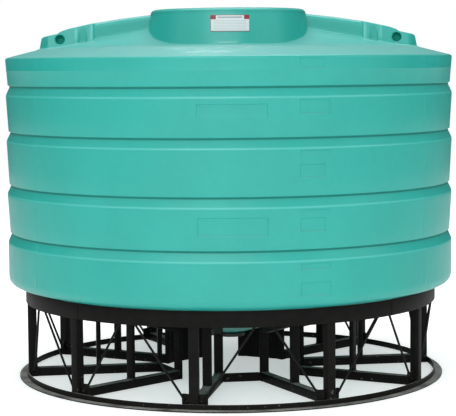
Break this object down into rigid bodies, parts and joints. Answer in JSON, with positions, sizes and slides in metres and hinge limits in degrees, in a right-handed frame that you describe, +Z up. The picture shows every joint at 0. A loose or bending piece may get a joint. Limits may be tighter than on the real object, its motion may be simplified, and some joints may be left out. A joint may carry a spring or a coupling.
{
  "type": "vertical storage tank on a stand",
  "caption": "Round moulded plastic liquid tank with a ribbed wall, low roof, raised dome and cone bottom, on a black steel stand with radial frames and braced bays.",
  "frame": {"origin": "on the floor, under the middle of the tank", "axes": "+Z up, the front of the tank with its placard faces -Y, +X to the right seen from the front"},
  "size_m": [2.589, 2.589, 2.12],
  "materials": {
    "tank_plastic": "moulded polyethylene, satin, faint mottling",
    "lid_plastic": "moulded, satin black",
    "outlet_plastic": "moulded, black",
    "placard_white": "smooth white plate with a thin red edge",
    "stand_paint": "satin black paint on steel, dusty on top faces",
    "brace_rod": "satin black paint on round bar"
  },
  "bodies": {
    "root": {"tank_wall_front": "tank_plastic", "tank_wall_right": "tank_plastic", "tank_wall_back": "tank_plastic", "tank_wall_left": "tank_plastic", "tank_roof": "tank_plastic", "tank_cone": "tank_plastic", "dome": "tank_plastic", "lifting_lug_left": "tank_plastic", "lifting_lug_right": "tank_plastic", "manway_lid": "lid_plastic", "drain_outlet": "outlet_plastic", "placard": "placard_white", "top_band_front": "stand_paint", "base_ring_front": "stand_paint", "top_band_right": "stand_paint", "base_ring_right": "stand_paint", "top_band_back": "stand_paint", "base_ring_back": "stand_paint", "top_band_left": "stand_paint", "base_ring_left": "stand_paint", "radial_frame_1": "stand_paint", "radial_frame_2": "stand_paint", "radial_frame_3": "stand_paint", "radial_frame_4": "stand_paint", "radial_frame_5": "stand_paint", "radial_frame_6": "stand_paint", "radial_frame_7": "stand_paint", "radial_frame_8": "stand_paint", "radial_frame_9": "stand_paint", "radial_frame_10": "stand_paint", "inner_tie_1": "stand_paint", "inner_tie_2": "stand_paint", "inner_tie_3": "stand_paint", "inner_tie_4": "stand_paint", "inner_tie_5": "stand_paint", "bay_brace_1": "brace_rod", "bay_brace_2": "brace_rod", "bay_brace_3": "brace_rod", "bay_brace_4": "brace_rod", "bay_brace_5": "brace_rod", "bay_brace_6": "brace_rod", "bay_brace_7": "brace_rod", "bay_brace_8": "brace_rod", "bay_brace_9": "brace_rod", "bay_brace_10": "brace_rod"}
  },
  "joints": []
}
